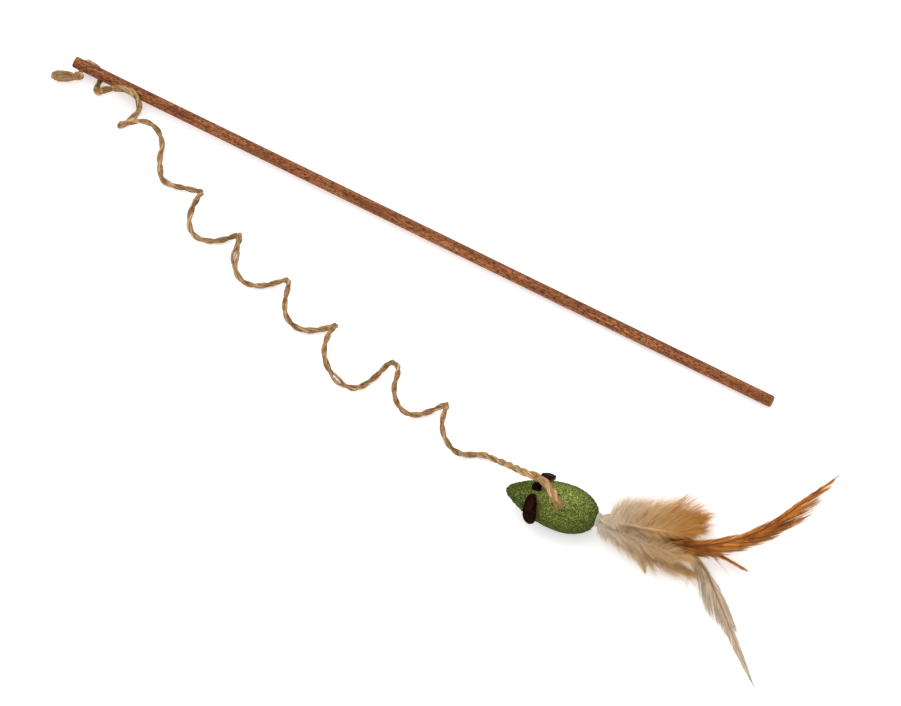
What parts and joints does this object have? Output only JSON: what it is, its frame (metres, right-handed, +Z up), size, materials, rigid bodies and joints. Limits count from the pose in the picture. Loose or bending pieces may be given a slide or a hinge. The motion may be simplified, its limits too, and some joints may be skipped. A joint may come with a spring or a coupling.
{
  "type": "cat teaser wand",
  "caption": "Wooden cat teaser wand with curled jute twine tied through its tip, ending in a pressed catnip mouse with leather ears and a feather tail.",
  "frame": {"origin": "on the floor under the middle of the box round the rod, its tied hitch, the mouse and its tail, without the loose twine", "axes": "+X along the rod from its tied tip to its grip end, +Z up from the floor"},
  "size_m": [0.5443, 0.1703, 0.0319],
  "materials": {
    "stained_wood": "reddish-brown stain, satin, with fine dark grain",
    "jute": "two-ply jute twine with loose fibres",
    "catnip": "pressed dry leaf, matt and granular",
    "ear_leather": "dark brown suede with a paler cut edge",
    "glue": "hard whitish hot-melt glue",
    "quill": "cut feather quills",
    "brown_feather": "orange-brown hackle with darker streaks",
    "cream_feather": "pale cream hackle",
    "golden_down": "fluffy cream and golden down"
  },
  "bodies": {
    "wand": {"wand_rod": "stained_wood", "stopper_knot": "jute", "knot_tuft": "jute", "twine_hitch": "jute"},
    "lead": {"twine_lead": "jute"},
    "curls": {"twine_curls": "jute"},
    "drop": {"twine_drop": "jute"},
    "mouse": {"mouse_body": "catnip", "ear_bridge": "ear_leather", "head_glue": "glue", "twine_end": "jute", "tail_glue": "glue"},
    "left_ear": {"ear_left": "ear_leather"},
    "right_ear": {"ear_right": "ear_leather"},
    "tail": {"quill_bundle": "quill", "cream_plume": "cream_feather", "hackle_short": "brown_feather", "hackle_third": "brown_feather", "hackle_second": "brown_feather", "hackle_long": "brown_feather", "down_upper_left": "golden_down", "down_top": "golden_down", "down_upper_right": "golden_down", "down_lower_right": "golden_down", "down_bottom": "golden_down", "down_lower_left": "golden_down"}
  },
  "joints": [
    {"name": "twine_swing", "type": "hinge", "parent": "wand", "child": "lead", "pos_m": [-0.22153, 0.06144, 0.0016], "axis": [0, 0, 1], "range_deg": [-75, 5]},
    {"name": "twine_lift", "type": "hinge", "parent": "lead", "child": "curls", "pos_m": [-0.1767, 0.0358, 0.0016], "axis": [-0.2741, -0.9617, 0], "range_deg": [0, 80]},
    {"name": "mouse_turn", "type": "hinge", "parent": "curls", "child": "drop", "pos_m": [0.06246, -0.03236, 0.0016], "axis": [0, 0, 1], "range_deg": [-60, 15]},
    {"name": "mouse_nod", "type": "hinge", "parent": "drop", "child": "mouse", "pos_m": [0.09808, -0.04334, 0.0286], "axis": [0.1357, -0.9907, 0], "range_deg": [0, 55]},
    {"name": "ear_left_flex", "type": "hinge", "parent": "mouse", "child": "left_ear", "pos_m": [0.10909, -0.05296, 0.02689], "axis": [-0.9907, -0.1357, 0], "range_deg": [0, 40], "stiffness_Nm_per_rad": 0.0002},
    {"name": "ear_right_flex", "type": "hinge", "parent": "mouse", "child": "right_ear", "pos_m": [0.10775, -0.0432, 0.02689], "axis": [0.9907, 0.1357, 0], "range_deg": [0, 40], "stiffness_Nm_per_rad": 0.0002},
    {"name": "tail_sway", "type": "hinge", "parent": "mouse", "child": "tail", "pos_m": [0.14983, -0.04241, 0.0137], "axis": [0, 0, 1], "range_deg": [-15, 15], "stiffness_Nm_per_rad": 0.0126}
  ]
}
